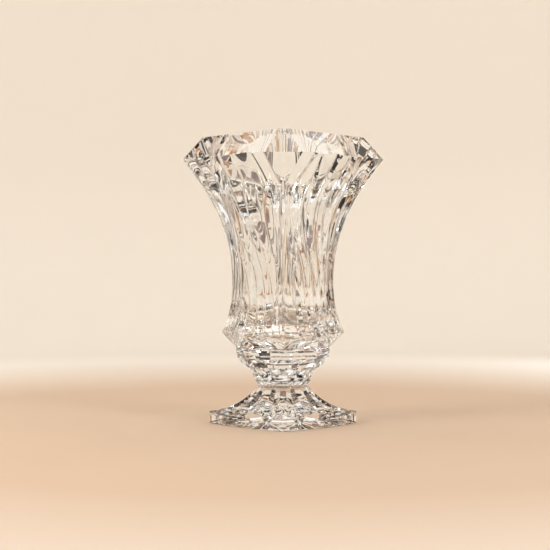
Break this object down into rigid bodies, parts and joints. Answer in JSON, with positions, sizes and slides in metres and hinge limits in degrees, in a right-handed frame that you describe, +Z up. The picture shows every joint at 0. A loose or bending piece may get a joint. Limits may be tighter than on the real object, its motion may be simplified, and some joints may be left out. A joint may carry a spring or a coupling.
{
  "type": "crystal vase",
  "caption": "Footed cut crystal vase: a fluted bowl that flares to a bevelled square rim, on an octagonal cup, a faceted neck and a square foot.",
  "frame": {"origin": "centre of the foot's underside, on the surface that the vase stands on", "axes": "+Z up along the vase's axis; the corners of the square foot and rim point along X and Y"},
  "size_m": [0.212, 0.212, 0.305],
  "materials": {
    "bowl_crystal": "clear crystal, fire polished and cut",
    "cup_crystal": "clear crystal, solid, polished facets",
    "collar_crystal": "clear crystal, solid, polished facets",
    "foot_crystal": "clear crystal, solid, polished facets"
  },
  "bodies": {
    "root": {"bowl": "bowl_crystal", "cup": "cup_crystal", "neck_collar": "collar_crystal", "foot": "foot_crystal"}
  },
  "joints": []
}
